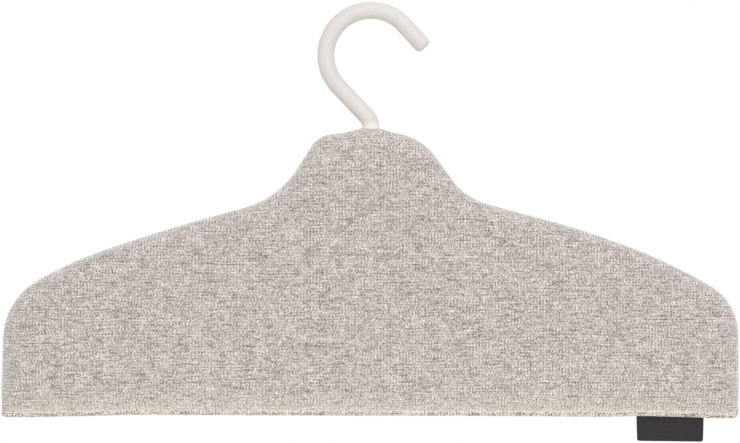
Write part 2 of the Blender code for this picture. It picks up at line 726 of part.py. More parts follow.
def main():
    clear_scene()
    coated = make_material("powder_coated_steel", (0.80, 0.765, 0.73), 0.45)
    zinc = make_material("zinc_plated_steel", (0.62, 0.63, 0.64), 0.35, 1.0)
    acetal = make_material("acetal", (0.80, 0.80, 0.78), 0.4)
    shell_plastic = make_material("polypropylene", (0.55, 0.55, 0.54), 0.5)
    foam = make_material("polyurethane_foam", (0.72, 0.70, 0.64), 0.95)
    fabric = make_material("melange_fabric", (0.54, 0.50, 0.465), 0.95)
    ribbon = make_material("woven_ribbon", (0.04, 0.037, 0.042), 0.8)

    swivel = bpy.data.objects.new("swivel_axis", None)
    bpy.context.scene.collection.objects.link(swivel)

    make_hook(coated, None)
    make_washer(zinc, None)
    make_lock_nut(zinc, None)
    make_bush(acetal, swivel)

    inner = outline(core_inset + CORE_WALL / 2, core_hem_inset + CORE_WALL / 2)
    bounds = add_helper(
        "rib_bounds",
        ring_mesh("rib_bounds", [level_ring(inner, -core_depth), level_ring(inner, core_depth)]),
    )
    bush_cutter = add_helper("bush_way", bush_way())
    make_shell("front_shell", -1, shell_plastic, swivel, bounds, bush_cutter)
    make_shell("rear_shell", 1, shell_plastic, swivel, bounds, bush_cutter)
    for k, (x, z) in enumerate(screw_places()):
        make_screw(f"shell_screw_{k + 1}", x, z, zinc, swivel)

    make_pad("front_pad", -1, foam, swivel)
    make_pad("rear_pad", 1, foam, swivel)

    cutters = [add_helper("hook_hole", hook_hole()), add_helper("label_pocket", label_pocket())]
    make_cover_panel("cover_front", -1, fabric, swivel, cutters)
    make_cover_panel("cover_rear", 1, fabric, swivel, cutters)
    make_label(ribbon, swivel)


main()
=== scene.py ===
# Steaming hanger: a padded board in a melange knit cover, hung on a powder-coated rod hook.
# Sizes in the dictionaries are millimetres. The front of the hanger looks towards -Y.
import math

import bpy
import numpy as np
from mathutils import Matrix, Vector, noise
from mathutils.geometry import delaunay_2d_cdt


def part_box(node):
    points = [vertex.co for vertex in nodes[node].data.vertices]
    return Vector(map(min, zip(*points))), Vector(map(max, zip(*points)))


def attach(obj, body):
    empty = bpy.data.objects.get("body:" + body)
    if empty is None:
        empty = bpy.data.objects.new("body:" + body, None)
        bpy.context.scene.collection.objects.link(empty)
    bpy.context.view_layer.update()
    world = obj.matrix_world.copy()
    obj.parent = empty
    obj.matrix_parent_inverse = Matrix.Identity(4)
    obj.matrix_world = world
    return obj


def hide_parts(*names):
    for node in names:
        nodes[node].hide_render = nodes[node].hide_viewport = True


mm = 0.001
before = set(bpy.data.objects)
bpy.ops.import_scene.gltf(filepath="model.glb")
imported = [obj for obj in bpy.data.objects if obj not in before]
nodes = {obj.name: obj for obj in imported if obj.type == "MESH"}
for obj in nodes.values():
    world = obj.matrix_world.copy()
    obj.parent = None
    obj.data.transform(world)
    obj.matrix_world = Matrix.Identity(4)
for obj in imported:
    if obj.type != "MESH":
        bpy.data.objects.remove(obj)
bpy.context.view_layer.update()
scene = bpy.context.scene
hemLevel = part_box("cover_front")[0].z
print("frame loaded,", len(nodes), "nodes")


# Small tools

def toLinear(hexText):
    shares = [int(hexText[k:k + 2], 16) / 255 for k in (0, 2, 4)]
    return (*[s / 12.92 if s <= 0.04045 else ((s + 0.055) / 1.055) ** 2.4 for s in shares], 1.0)


def addNode(tree, kind, inputs=None, **settings):
    node = tree.nodes.new(kind)
    for name, value in settings.items():
        setattr(node, name, value)
    for name, value in (inputs or {}).items():
        if isinstance(value, bpy.types.NodeSocket):
            tree.links.new(value, node.inputs[name])
        else:
            node.inputs[name].default_value = value
    return node


def calc(tree, operation, *values):
    return addNode(tree, "ShaderNodeMath", dict(enumerate(values)), operation=operation).outputs[0]


def combine(tree, parts):
    # a vector from its parts, by their number
    return addNode(tree, "ShaderNodeCombineXYZ", parts).outputs[0]


def noiseOver(tree, place, scale, detail, twist=0.0):
    return addNode(tree, "ShaderNodeTexNoise", {
        "Vector": place, "Scale": scale, "Detail": detail, "Distortion": twist}).outputs[0]


def newMaterial(name):
    material = bpy.data.materials.new(name)
    material.use_nodes = True
    return material, material.node_tree, material.node_tree.nodes["Principled BSDF"]


def setSockets(shader, **values):
    for name, value in values.items():
        shader.inputs[name.replace("_", " ")].default_value = value


def setColour(tree, shader, share, *stops):
    # the shader's colour from a ramp through (place, sRGB hex) stops
    node = addNode(tree, "ShaderNodeValToRGB", {"Fac": share})
    ramp = node.color_ramp
    while len(ramp.elements) < len(stops):
        ramp.elements.new(0.5)
    for element, (place, hexText) in zip(ramp.elements, stops):
        element.position, element.color = place, toLinear(hexText)
    tree.links.new(node.outputs["Color"], shader.inputs["Base Color"])


def setRelief(tree, shader, height, strength, depth):
    # the shader's bump, where depth is in millimetres
    bump = addNode(tree, "ShaderNodeBump", {"Height": height, "Strength": strength, "Distance": depth * mm})
    tree.links.new(bump.outputs[0], shader.inputs["Normal"])


def addObject(name, data):
    item = bpy.data.objects.new(name, data)
    scene.collection.objects.link(item)
    return item


def newMesh(name, points, edges, faces):
    mesh = bpy.data.meshes.new(name)
    mesh.from_pydata(points, edges, faces)
    return mesh


def newPiece(name, mesh, material, body):
    piece = addObject(name, mesh)
    mesh.materials.clear()
    mesh.materials.append(material)
    mesh.polygons.foreach_set("use_smooth", [True] * len(mesh.polygons))
    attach(piece, body)
    return piece


# Geometry Nodes tools

def newTree(name, **inputs):
    # a tree that turns a path into a mesh, with the names of its other inputs for each kind of socket
    tree = bpy.data.node_groups.new(name, "GeometryNodeTree")
    for kind, titles in {"Geometry": ["Path"], **inputs}.items():
        for title in titles:
            tree.interface.new_socket(title, in_out="INPUT", socket_type="NodeSocket" + kind)
    tree.interface.new_socket("Mesh", in_out="OUTPUT", socket_type="NodeSocketGeometry")
    return tree, addNode(tree, "NodeGroupInput").outputs


def endTree(tree, geometry, material):
    real = addNode(tree, "GeometryNodeRealizeInstances", {"Geometry": geometry})
    coated = addNode(tree, "GeometryNodeSetMaterial", {"Geometry": real.outputs[0], "Material": material})
    smooth = addNode(tree, "GeometryNodeSetShadeSmooth", {"Geometry": coated.outputs[0]})
    addNode(tree, "NodeGroupOutput", {"Mesh": smooth.outputs[0]})


def growMesh(tree, base, values):
    # the mesh that the tree makes from a base mesh, as plain mesh data
    carrier = addObject("carrier", base)
    modifier = carrier.modifiers.new("grow", "NODES")
    modifier.node_group = tree
    for item in tree.interface.items_tree:
        if item.item_type == "SOCKET" and item.in_out == "INPUT" and item.name in values:
            modifier[item.identifier] = values[item.name]
    depsgraph = bpy.context.evaluated_depsgraph_get()
    mesh = bpy.data.meshes.new_from_object(carrier.evaluated_get(depsgraph), depsgraph=depsgraph)
    bpy.data.objects.remove(carrier)
    return mesh


def lineMesh(name, points):
    return newMesh(name, points, [(k, k + 1) for k in range(len(points) - 1)], [])


# Materials

knitLook = {
    "wale": 1.9, "course": 1.8, "legLean": 0.8, "wander": 1.2, "wanderScale": 0.06,
    "dark": "605955", "middle": "b3aba5", "light": "f0ebe7",
    # each pattern's share of the tone, with its size, or how it runs along and across the rows
    "ribShare": 0.067, "ribVaried": 1.33, "ribRun": 0.14, "ribStep": 1.37, "ribSeed": 20, "rowShare": 0.095,
    "blob": 0.26, "blobSize": (0.7, 0.55), "speck": 0.91, "speckSize": 0.4,
    "slub": 0.74, "slubEven": 0.467, "slubRun": 0.12, "slubStep": 0.83,
    "blotch": 0.2, "blotchScale": 0.13, "blotchTwist": 0.6,
    # more contrast at the side and the hem, which is painted shade between the loops, and the paler band at
    # the stitches, which is painted light from below
    "sideShadeContrast": 0.15, "sideReach": 3.0, "hemShadeContrast": 0.7, "hemReach": 7.5,
    "hemLight": 0.16, "hemLightHeight": 3.6, "hemLightReach": 1.9, "slubFade": 0.7,
    "bump": 0.3, "bumpDepth": 0.4, "blobRelief": 1.2, "ribRelief": 0.4,
}


def melangeKnit(name, seed):
    # cotton-rich melange jersey: matt loops in rows, each yarn a mix of pale and dark fibres, and soft fuzz
    # at grazing angles. The loops are drawn about twice as coarse as the real ones, so that they show.
    look = knitLook
    material, tree, shader = newMaterial(name)
    place = addNode(tree, "ShaderNodeUVMap", uv_map="knit").outputs[0]
    split = addNode(tree, "ShaderNodeSeparateXYZ", {0: place}).outputs
    wander = noiseOver(tree, place, look["wanderScale"], 1.0)
    wale = calc(tree, "DIVIDE", split[0], look["wale"])
    course = calc(tree, "DIVIDE", split[1], look["course"])
    course = calc(tree, "MULTIPLY_ADD", wander, look["wander"], course)
    # two legs of each loop lean away from the wale's middle, and each row holds two passes of yarn
    slope = calc(tree, "ABSOLUTE", calc(tree, "SUBTRACT", calc(tree, "FRACT", wale), 0.5))
    rise = calc(tree, "MULTIPLY_ADD", slope, look["legLean"], course)
    passes = calc(tree, "FLOOR", calc(tree, "MULTIPLY", rise, 2))
    # ribs, stronger along some stretches of a row than along others
    legPlace = combine(tree, {0: calc(tree, "MULTIPLY", wale, look["ribRun"]),
                              1: calc(tree, "MULTIPLY", passes, look["ribStep"]), 2: seed + look["ribSeed"]})
    legTone = calc(tree, "SUBTRACT", noiseOver(tree, legPlace, 1.0, 1.0), 0.5)
    strength = calc(tree, "MULTIPLY_ADD", legTone, look["ribVaried"], look["ribShare"])
    rib = calc(tree, "COSINE", calc(tree, "MULTIPLY_ADD", wale, 2 * math.pi, math.pi))
    row = calc(tree, "SINE", calc(tree, "MULTIPLY", rise, 2 * math.pi))
    rows = calc(tree, "MULTIPLY", row, look["rowShare"])
    tone = calc(tree, "ADD", 0.5, calc(tree, "ADD", calc(tree, "MULTIPLY", rib, strength), rows))
    # loops of uneven size, single pale and dark fibres, and broad blotches
    blobPlace = addNode(tree, "ShaderNodeMapping", {
        "Vector": place, "Scale": (1 / look["blobSize"][0], 1 / look["blobSize"][1], 1)}).outputs[0]
    blob = noiseOver(tree, blobPlace, 1.0, 2.0)
    cells = [calc(tree, "FLOOR", calc(tree, "DIVIDE", split[k], look["speckSize"])) for k in (0, 1)]
    speckPlace = combine(tree, {0: cells[0], 1: cells[1], 2: seed})
    speck = addNode(tree, "ShaderNodeTexWhiteNoise", {"Vector": speckPlace}).outputs[0]
    blotch = noiseOver(tree, place, look["blotchScale"], 3.0, look["blotchTwist"])
    for value, amount in ((blob, look["blob"]), (speck, look["speck"] / 2), (blotch, look["blotch"])):
        tone = calc(tree, "MULTIPLY_ADD", calc(tree, "SUBTRACT", value, 0.5), 2 * amount, tone)
    # painted light from below along the hem's stitches: the knit is drawn paler there, and the slubs fade
    overHem = addNode(tree, "ShaderNodeAttribute", attribute_name="overHem").outputs["Fac"]
    fromStitch = calc(tree, "SUBTRACT", overHem, look["hemLightHeight"])
    fromStitch = calc(tree, "DIVIDE", fromStitch, look["hemLightReach"])
    square = calc(tree, "MULTIPLY", fromStitch, fromStitch)
    hemLight = calc(tree, "EXPONENT", calc(tree, "MULTIPLY", square, -1))
    # slubs: darker stretches of yarn that run along a row
    slubPlace = combine(tree, {0: calc(tree, "MULTIPLY", split[0], look["slubRun"]),
                               1: calc(tree, "MULTIPLY", passes, look["slubStep"]), 2: seed})
    slub = calc(tree, "MINIMUM", noiseOver(tree, slubPlace, 1.0, 2.0), 0.5)
    slub = calc(tree, "SUBTRACT", slub, look["slubEven"])
    slub = calc(tree, "MULTIPLY", slub, calc(tree, "MULTIPLY_ADD", hemLight, -look["slubFade"], 1))
    tone = calc(tree, "MULTIPLY_ADD", slub, 2 * look["slub"], tone)
    # where the panel turns over its side or into its hem, the loops open: the tone's contrast is raised
    # there, which is painted shade in their gaps
    overSide = addNode(tree, "ShaderNodeAttribute", attribute_name="overSide").outputs["Fac"]
    atSide = calc(tree, "EXPONENT", calc(tree, "DIVIDE", overSide, -look["sideReach"]))
    atHem = calc(tree, "DIVIDE", calc(tree, "MAXIMUM", overHem, 0), look["hemReach"])
    atHem = calc(tree, "EXPONENT", calc(tree, "MULTIPLY", calc(tree, "POWER", atHem, 2), -1))
    shadeContrast = calc(tree, "MAXIMUM", calc(tree, "MULTIPLY", atSide, look["sideShadeContrast"]),
                    calc(tree, "MULTIPLY", atHem, look["hemShadeContrast"]))
    shadeContrast = calc(tree, "ADD", shadeContrast, 1)
    tone = calc(tree, "MULTIPLY_ADD", calc(tree, "SUBTRACT", tone, 0.5), shadeContrast, 0.5)
    # painted light: the band at the stitches is made paler
    tone = calc(tree, "MULTIPLY_ADD", hemLight, look["hemLight"], tone)
    setColour(tree, shader, tone, (0.0, look["dark"]), (0.5, look["middle"]), (1.0, look["light"]))
    height = calc(tree, "MULTIPLY", rib, look["ribRelief"])
    height = calc(tree, "MULTIPLY_ADD", blob, look["blobRelief"], height)
    setRelief(tree, shader, height, look["bump"], look["bumpDepth"])
    setSockets(shader, Roughness=0.95, Sheen_Weight=0.8, Sheen_Roughness=0.6, Sheen_Tint=toLinear("fff8f1"),
               Specular_IOR_Level=0.2)
    return material


def objectPlace(tree):
    # object coordinates in millimetres
    place = addNode(tree, "ShaderNodeTexCoord").outputs["Object"]
    return addNode(tree, "ShaderNodeMapping", {"Vector": place, "Scale": (1 / mm, 1 / mm, 1 / mm)}).outputs[0]


grainLook = {"cloudScale": 0.06, "roughSpread": 0.08, "depth": 0.1}


def speckled(name, colours, roughness, grain, detail, bump, metallic=0.0, **sockets):
    # a near-even finish with grain of a real size: colour, roughness and surface all vary with it
    look = grainLook
    material, tree, shader = newMaterial(name)
    place = objectPlace(tree)
    fine = noiseOver(tree, place, 1 / grain, detail)
    broad = noiseOver(tree, place, look["cloudScale"], 2.0)
    tone = calc(tree, "MULTIPLY_ADD", fine, 0.5, calc(tree, "MULTIPLY", broad, 0.5))
    setColour(tree, shader, tone, (0.3, colours[0]), (0.7, colours[1]))
    rough = addNode(tree, "ShaderNodeMapRange", {
        "Value": fine, "From Min": 0.3, "From Max": 0.7,
        "To Min": roughness - look["roughSpread"], "To Max": roughness + look["roughSpread"]})
    tree.links.new(rough.outputs[0], shader.inputs["Roughness"])
    setRelief(tree, shader, fine, bump, look["depth"])
    setSockets(shader, Metallic=metallic, **sockets)
    return material


# powder coat on steel: an even satin paint with a faint orange peel
powderCoat = speckled("powder-coated steel", ("d5d1cd", "dbd7d3"), roughness=0.42, grain=0.5, detail=2.0,
                      bump=0.08, Specular_IOR_Level=0.35)
rodFootLight = {"from": -60.5, "to": -66.0, "colour": "f6efe6"}  # heights between which painted bounce light makes the coat paler


def paintFootLight(material):
    # painted light: the coat is drawn paler at the rod's foot, where light bounced up from the cover round
    # the neck falls on it
    tree = material.node_tree
    shader = tree.nodes["Principled BSDF"]
    height = addNode(tree, "ShaderNodeSeparateXYZ", {0: objectPlace(tree)}).outputs[2]
    share = addNode(tree, "ShaderNodeMapRange", {"Value": height, "From Min": rodFootLight["from"],
                                                 "From Max": rodFootLight["to"]}, interpolation_type="SMOOTHSTEP")
    coat = shader.inputs["Base Color"].links[0].from_socket
    mixed = addNode(tree, "ShaderNodeMix", {0: share.outputs[0], 6: coat, 7: toLinear(rodFootLight["colour"])},
                    data_type="RGBA")
    tree.links.new(mixed.outputs[2], shader.inputs["Base Color"])


# painted bounce light at the foot of the rod
paintFootLight(powderCoat)
# bright zinc plate: a bluish metal with soft cloudy spangle
zincPlate = speckled("zinc plate", ("a9adb0", "c6c9ca"), roughness=0.32, grain=0.6, detail=3.0, bump=0.1,
                     metallic=1.0)
# acetal, moulded: a dense waxy off-white plastic
acetal = speckled("moulded acetal", ("d9d6cd", "e2dfd7"), roughness=0.38, grain=0.3, detail=2.0, bump=0.08)
# polypropylene, moulded with a fine spark-eroded grain
polypropylene = speckled("moulded polypropylene", ("8e8c88", "9b9995"), roughness=0.5, grain=0.35, detail=3.0,
                         bump=0.3)
# open-cell polyether foam: fine matt pores
foam = speckled("polyether foam", ("cfc8b4", "e6e0cf"), roughness=0.95, grain=0.7, detail=4.0, bump=0.9,
                Subsurface_Weight=0.1, Subsurface_Scale=2 * mm)


ribbonLook = {"warp": 1.3, "weft": 1.2, "weave": 0.22, "lintScale": 1.4, "bump": 0.4, "bumpDepth": 0.1}


def wovenRibbon():
    # polyester label ribbon, plain woven: a charcoal cloth with fine ribs, which are drawn about three and a
    # half times as wide as the real ones, so that they show
    look = ribbonLook
    material, tree, shader = newMaterial("woven polyester ribbon")
    place = addNode(tree, "ShaderNodeUVMap", uv_map="weave").outputs[0]
    split = addNode(tree, "ShaderNodeSeparateXYZ", {0: place}).outputs
    warp = calc(tree, "SINE", calc(tree, "MULTIPLY", split[0], 2 * math.pi / look["warp"]))
    weft = calc(tree, "SINE", calc(tree, "MULTIPLY", split[1], 2 * math.pi / look["weft"]))
    weave = calc(tree, "MULTIPLY", warp, weft)
    tone = calc(tree, "MULTIPLY_ADD", weave, look["weave"], noiseOver(tree, place, look["lintScale"], 3.0))
    setColour(tree, shader, tone, (0.2, "1a191d"), (0.5, "29282c"), (0.8, "3d3b41"))
    setRelief(tree, shader, weave, look["bump"], look["bumpDepth"])
    setSockets(shader, Roughness=0.8, Specular_IOR_Level=0.3)
    return material


threadLook = {"ply": 1.3, "slant": 0.8, "bump": 0.5, "bumpDepth": 0.1}


def twistedThread():
    # polyester sewing thread: cream, with the slanting bands of its two plies, which are drawn about twice as
    # wide as the real ones, so that they show
    look = threadLook
    material, tree, shader = newMaterial("twisted sewing thread")
    split = addNode(tree, "ShaderNodeSeparateXYZ", {0: objectPlace(tree)}).outputs
    slant = calc(tree, "ADD", split[0], calc(tree, "MULTIPLY", split[2], look["slant"]))
    ply = calc(tree, "SINE", calc(tree, "MULTIPLY", slant, 2 * math.pi / look["ply"]))
    setColour(tree, shader, calc(tree, "MULTIPLY_ADD", ply, 0.5, 0.5), (0.0, "cdbeb0"), (1.0, "fffaf4"))
    setRelief(tree, shader, ply, look["bump"], look["bumpDepth"])
    setSockets(shader, Roughness=0.6, Sheen_Weight=0.2)
    return material


ribbonCloth = wovenRibbon()
sewingThread = twistedThread()
print("materials made")


# Cover outline, as (across, height over the hem corners). Sewn cloth isn't even: the two halves differ.

outlineSizes = {
    "height": 172.4, "neckRise": 41.0,
    "right": {"halfWidth": 220.7, "neckHalf": 30.2, "neckFall": 4.1, "neckRound": 34.0, "neckBase": 56.9,
              "neckCurve": 39.2, "lineRound": 423.0, "bends": ((0.409, 0.292), (0.715, 0.58)),
              "shoulder": 69.7, "shoulderRound": 33.6, "lean": 0.5, "hemCorner": 2.6},
    "left": {"halfWidth": 221.8, "neckHalf": 31.9, "neckFall": 3.5, "neckRound": 15.8, "neckBase": 55.1,
             "neckCurve": 57.5, "lineRound": 930.0, "bends": ((0.399, 0.296), (0.747, 0.616)),
             "shoulder": 71.0, "shoulderRound": 43.0, "lean": 1.8, "hemCorner": 1.4},
    # the hem's height across the hanger, pulled up by its stitches and down by the label
    "hem": ((-222, 0.0), (-205, 0.0), (-160, 0.85), (-143, 1.38), (-131, 1.4), (-64, 1.05), (0, 0.8),
            (56, 0.75), (116, 0.4), (134, 0.2), (151, 0.3), (162, 0.85), (178, 0.3), (199.4, -0.15),
            (202.6, -0.8), (213, -0.85), (222, -0.5)),
    "hemSpan": 205, "hemStep": 10, "hemReturn": 12, "cornerShare": 0.49, "cornerSteps": 14,
    "spacing": 1.1, "smoothing": 5, "cornerHeight": 4.0, "runOut": 40,
}


def hemHeight(across):
    return np.interp(across, *zip(*outlineSizes["hem"]))


def arcCorner(before, tip, after, radius):
    # an arc of that radius in the corner, or of a smaller one where the sides are too short for it
    steps = outlineSizes["cornerSteps"]
    back, ahead = before - tip, after - tip
    opening = back.angle(ahead)
    longest = outlineSizes["cornerShare"] * min(back.length, ahead.length)
    tangent = min(radius / math.tan(opening / 2), longest)
    radius = tangent * math.tan(opening / 2)
    back.normalize()
    ahead.normalize()
    centre = tip + (back + ahead).normalized() * (radius / math.sin(opening / 2))
    start, end = tip + back * tangent - centre, tip + ahead * tangent - centre
    swing = start.angle(end)
    shares = [k / steps for k in range(steps + 1)]
    return [centre + (start * math.sin((1 - s) * swing) + end * math.sin(s * swing)) / math.sin(swing)
            for s in shares]


def halfOutline(side):
    # from the neck's middle round to the hem corner; side is 1 on the right and -1 on the left
    sizes, top = outlineSizes["right" if side > 0 else "left"], outlineSizes["height"]
    foot = sizes["halfWidth"]
    base = Vector((sizes["neckBase"], top - outlineSizes["neckRise"]))
    shoulder = Vector((foot - sizes["lean"], sizes["shoulder"]))
    reach, drop = shoulder.x - base.x, shoulder.y - base.y
    bends = [(Vector((base.x + a * reach, base.y + b * drop)), sizes["lineRound"]) for a, b in sizes["bends"]]
    end = foot - outlineSizes["hemReturn"]
    corners = [
        (Vector((0, top)), 0),
        (Vector((sizes["neckHalf"], top - sizes["neckFall"])), sizes["neckRound"]),
        (base, sizes["neckCurve"]), *bends, (shoulder, sizes["shoulderRound"]),
        (Vector((foot, hemHeight(side * foot))), sizes["hemCorner"]),
        (Vector((end, hemHeight(side * end))), 0),
    ]
    points = [corners[0][0]]
    for (before, _), (tip, radius), (after, _) in zip(corners, corners[1:], corners[2:]):
        points += arcCorner(before, tip, after, radius)
    return [(side * p.x, p.y) for p in points]


def runAlong(line):
    # how far along a line each of its points is
    return np.concatenate([[0], np.cumsum(np.hypot(*np.diff(line, axis=0).T))])


def rightOf(tangents):
    # unit vectors to the right of a line, square to its tangents
    return np.stack([tangents[:, 1], -tangents[:, 0]], 1) / np.hypot(*tangents.T)[:, None]


def inwardOf(loop):
    # the way in at each point of a closed loop
    return rightOf(np.roll(loop, -1, 0) - np.roll(loop, 1, 0))


def evenly(points, spacing):
    # a closed line's points again, a fixed distance apart
    loop = np.array([*points, points[0]], float)
    run = runAlong(loop)
    places = np.linspace(0, run[-1], round(run[-1] / spacing), endpoint=False)
    return np.stack([np.interp(places, run, loop[:, k]) for k in (0, 1)], 1)


def coverOutline():
    sizes = outlineSizes
    right, left = halfOutline(1), halfOutline(-1)
    hem = [(x, hemHeight(x)) for x in np.arange(sizes["hemSpan"], -sizes["hemSpan"] - 1, -sizes["hemStep"])]
    loop = evenly(right + hem + left[:0:-1], sizes["spacing"])
    for _ in range(sizes["smoothing"]):
        loop = (np.roll(loop, 1, 0) + 2 * loop + np.roll(loop, -1, 0)) / 4
    return loop


def nearestPlace(points, line):
    # how far each point is from a line of points, and where along it the nearest place is, in parts
    partSize = 1500
    start, along = line[:-1], np.diff(line, axis=0)
    lengths = (along ** 2).sum(1)
    distances, places = [], []
    for part in np.array_split(points, max(1, len(points) // partSize)):
        gaps = part[:, None] - start[None]
        shares = np.clip((gaps * along).sum(2) / lengths, 0, 1)
        squares = ((gaps - shares[..., None] * along) ** 2).sum(2)
        best, rows = squares.argmin(1), np.arange(len(part))
        distances.append(np.sqrt(squares[rows, best]))
        places.append(best + shares[rows, best])
    return np.concatenate(distances), np.concatenate(places)


outlineLoop = coverOutline()
closedLoop = np.vstack([outlineLoop, outlineLoop[:1]])
onHem = outlineLoop[:, 1] < outlineSizes["cornerHeight"]
rightFoot, leftFoot = np.flatnonzero(onHem)[[0, -1]]
# the sides and top alone, run straight down past the hem
sideLine = np.vstack([outlineLoop[leftFoot + 1:], outlineLoop[:rightFoot]])
runOut = np.array((0, outlineSizes["runOut"]))
sideLine = np.vstack([sideLine[0] - runOut, sideLine, sideLine[-1] - runOut])
sideOut = -rightOf(np.gradient(sideLine, axis=0))


# Cover: two knit panels over the pads

coverSizes = {
    "edgeRound": 12.0, "depth": 13.65, "fabric": 1.2, "squeeze": 0.55, "arcSteps": 60,
    "lipThickness": 2.2, "lipRound": 1.5, "hemFrom": 3.4, "hemRun": 14.6, "hemSoft": 1.45, "hemFillet": 1.8,
    "cornerPower": 6, "crown": 0.5, "crownReach": 60, "seamGap": 0.02,
    # ripples: their height, and the size and seed of their noise
    "ripple": 0.22, "rippleSize": 34, "rippleSeed": 5.1, "fineShare": 0.5, "fineSize": 13, "fineSeed": 8.3,
    "holeRadius": 5.6, "holeRaise": 1.4, "holeRaiseReach": 6.5, "holeRaiseFrom": 150,
    "seamPull": 0.55, "seamReach": 1.0, "seamFrom": 1, "seamBlend": 4, "puckerPitch": 6.5, "puckerShare": 0.3,
    "stitchHeight": 3.2, "stitchPitch": 4.65, "drift": 1.5, "driftSize": 40, "driftSeed": 3,
    "groove": 0.2, "grooveVaried": 0.25, "grooveWidth": 0.7, "stitchPucker": 0.12, "stitchPuckerReach": 4,
    "labelPart": 0.72, "labelReach": 7, "labelBlend": 3, "labelFrom": 158.6, "labelTo": 200.2,
    # the mesh: rings in from the edge, and a grid inside them
    "rings": (0.12, 0.35, 0.75, 1.3, 2.0, 2.7, 3.4, 4.2, 5.2, 6.6, 8.4, 10.4, 12.6, 15.2, 18.0, 21.5),
    "closeRings": 9, "cell": 3.4,
}


def quarterRound(share):
    share = np.clip(share, 0, 1)
    return np.sqrt(1 - (1 - share) ** 2)


def hemSwell(height, start, run):
    # how far the cover has swelled from the hem's lip, which it leaves at a slant
    return np.clip((height - start) / run, 0, 1) ** coverSizes["hemSoft"]


def swellDepth(sideShare, hemShare):
    # the cover's depth as a share, where the side's round and the hem's round meet at a soft corner
    power = coverSizes["cornerPower"]
    short = ((1 - np.clip(sideShare, 0, 1)) ** power + (1 - hemShare) ** power) ** (1 / power)
    return quarterRound(1 - short)


def arcExtra(distance, width, depth):
    # how much longer the way over a rounded edge is than its width, from the flat out to that distance
    turns = np.linspace(0, math.pi / 2, coverSizes["arcSteps"])
    across = width * (1 - np.cos(turns))
    run = runAlong(np.stack([across, depth * np.sin(turns)], 1))
    return np.interp(distance, across, (run[-1] - run) - (width - across))


def smoothNoise(plane, scale, seed):
    return np.array([noise.noise((x / scale, y / scale, seed)) for x, y in plane])


def coverSurface(plane, side):
    # the cover's outer surface over points of the outline's plane, its knit coordinates, and the way out
    s = coverSizes
    across = plane[:, 0]
    edge, _ = nearestPlace(plane, closedLoop)
    near, place = nearestPlace(plane, sideLine)
    low = np.minimum(place.astype(int), len(sideOut) - 2)
    share = (place - low)[:, None]
    out = sideOut[low] * (1 - share) + sideOut[low + 1] * share
    hem = plane[:, 1] - hemHeight(across)
    swell = swellDepth(near / s["edgeRound"], hemSwell(hem, s["hemFrom"], s["hemRun"]))
    lip = quarterRound(edge / s["lipRound"])
    body, flat = s["depth"] * swell, s["lipThickness"] * lip
    blend = np.hypot(body - flat, s["hemFillet"] * lip)
    depth = (body + flat + blend) / 2
    # the stitches press a groove in, deepest at each stitch's ends, and pucker the cloth over it
    drift = s["drift"] * smoothNoise(plane, s["driftSize"], side + s["driftSeed"])
    stitch = np.cos(2 * math.pi * across / s["stitchPitch"] + drift)
    overStitch = hem - s["stitchHeight"]
    groove = s["groove"] * (1 - s["grooveVaried"] + s["grooveVaried"] * stitch)
    depth -= groove * np.exp(-(overStitch / s["grooveWidth"]) ** 2) * lip
    depth += s["stitchPucker"] * stitch * np.exp(-np.clip(overStitch, 0, None) / s["stitchPuckerReach"]) * lip
    # the pad crowns the face, and the cloth ripples over it
    depth += swell * s["crown"] * np.clip(near / s["crownReach"], 0, 1) ** 0.5
    ripple = smoothNoise(plane, s["rippleSize"], side * s["rippleSeed"])
    ripple += s["fineShare"] * smoothNoise(plane, s["fineSize"], side * s["fineSeed"])
    depth += swell * s["ripple"] * ripple
    onEdge = 0.01
    depth[edge < onEdge] = 0
    # the two lips part a little round the label
    inLabel = (np.clip((across - s["labelFrom"]) / s["labelBlend"] + 1, 0, 1)
               * np.clip((s["labelTo"] - across) / s["labelBlend"] + 1, 0, 1))
    rim = s["seamGap"] + s["labelPart"] * inLabel * np.exp(-(np.clip(hem, 0, None) / s["labelReach"]) ** 2)
    # the side seam pulls in, and the cloth rises where it meets the rod
    fromRod = np.hypot(across, depth) - s["holeRadius"]
    byRod = np.where(plane[:, 1] > s["holeRaiseFrom"], np.exp(-(fromRod / s["holeRaiseReach"]) ** 2), 0)
    pucker = 1 + s["puckerShare"] * np.sin(2 * math.pi * place * outlineSizes["spacing"] / s["puckerPitch"])
    pull = s["seamPull"] * np.exp(-(depth / s["seamReach"]) ** 2) * pucker * (1 - byRod)
    pull *= np.clip((hem - s["seamFrom"]) / s["seamBlend"], 0, 1)
    moved = plane - out * pull[:, None]
    height = moved[:, 1] + s["holeRaise"] * byRod
    points = np.stack([moved[:, 0] * mm, side * (rim + depth) * mm, hemLevel + height * mm], 1)
    # over the round sides and the hem's turn the knit is drawn less squeezed than it is, to show its loops
    knit = plane + out * s["squeeze"] * arcExtra(near, s["edgeRound"], s["depth"])[:, None]
    knit[:, 1] -= s["squeeze"] * arcExtra(np.clip(hem - s["hemFrom"], 0, None), s["hemRun"], s["depth"])
    return points, knit, out


planSizes = {"keep": 0.93, "holeKeep": (0.1, 0.8), "apart": 0.6, "rowShare": 0.87, "home": 4, "weld": 1e-5}


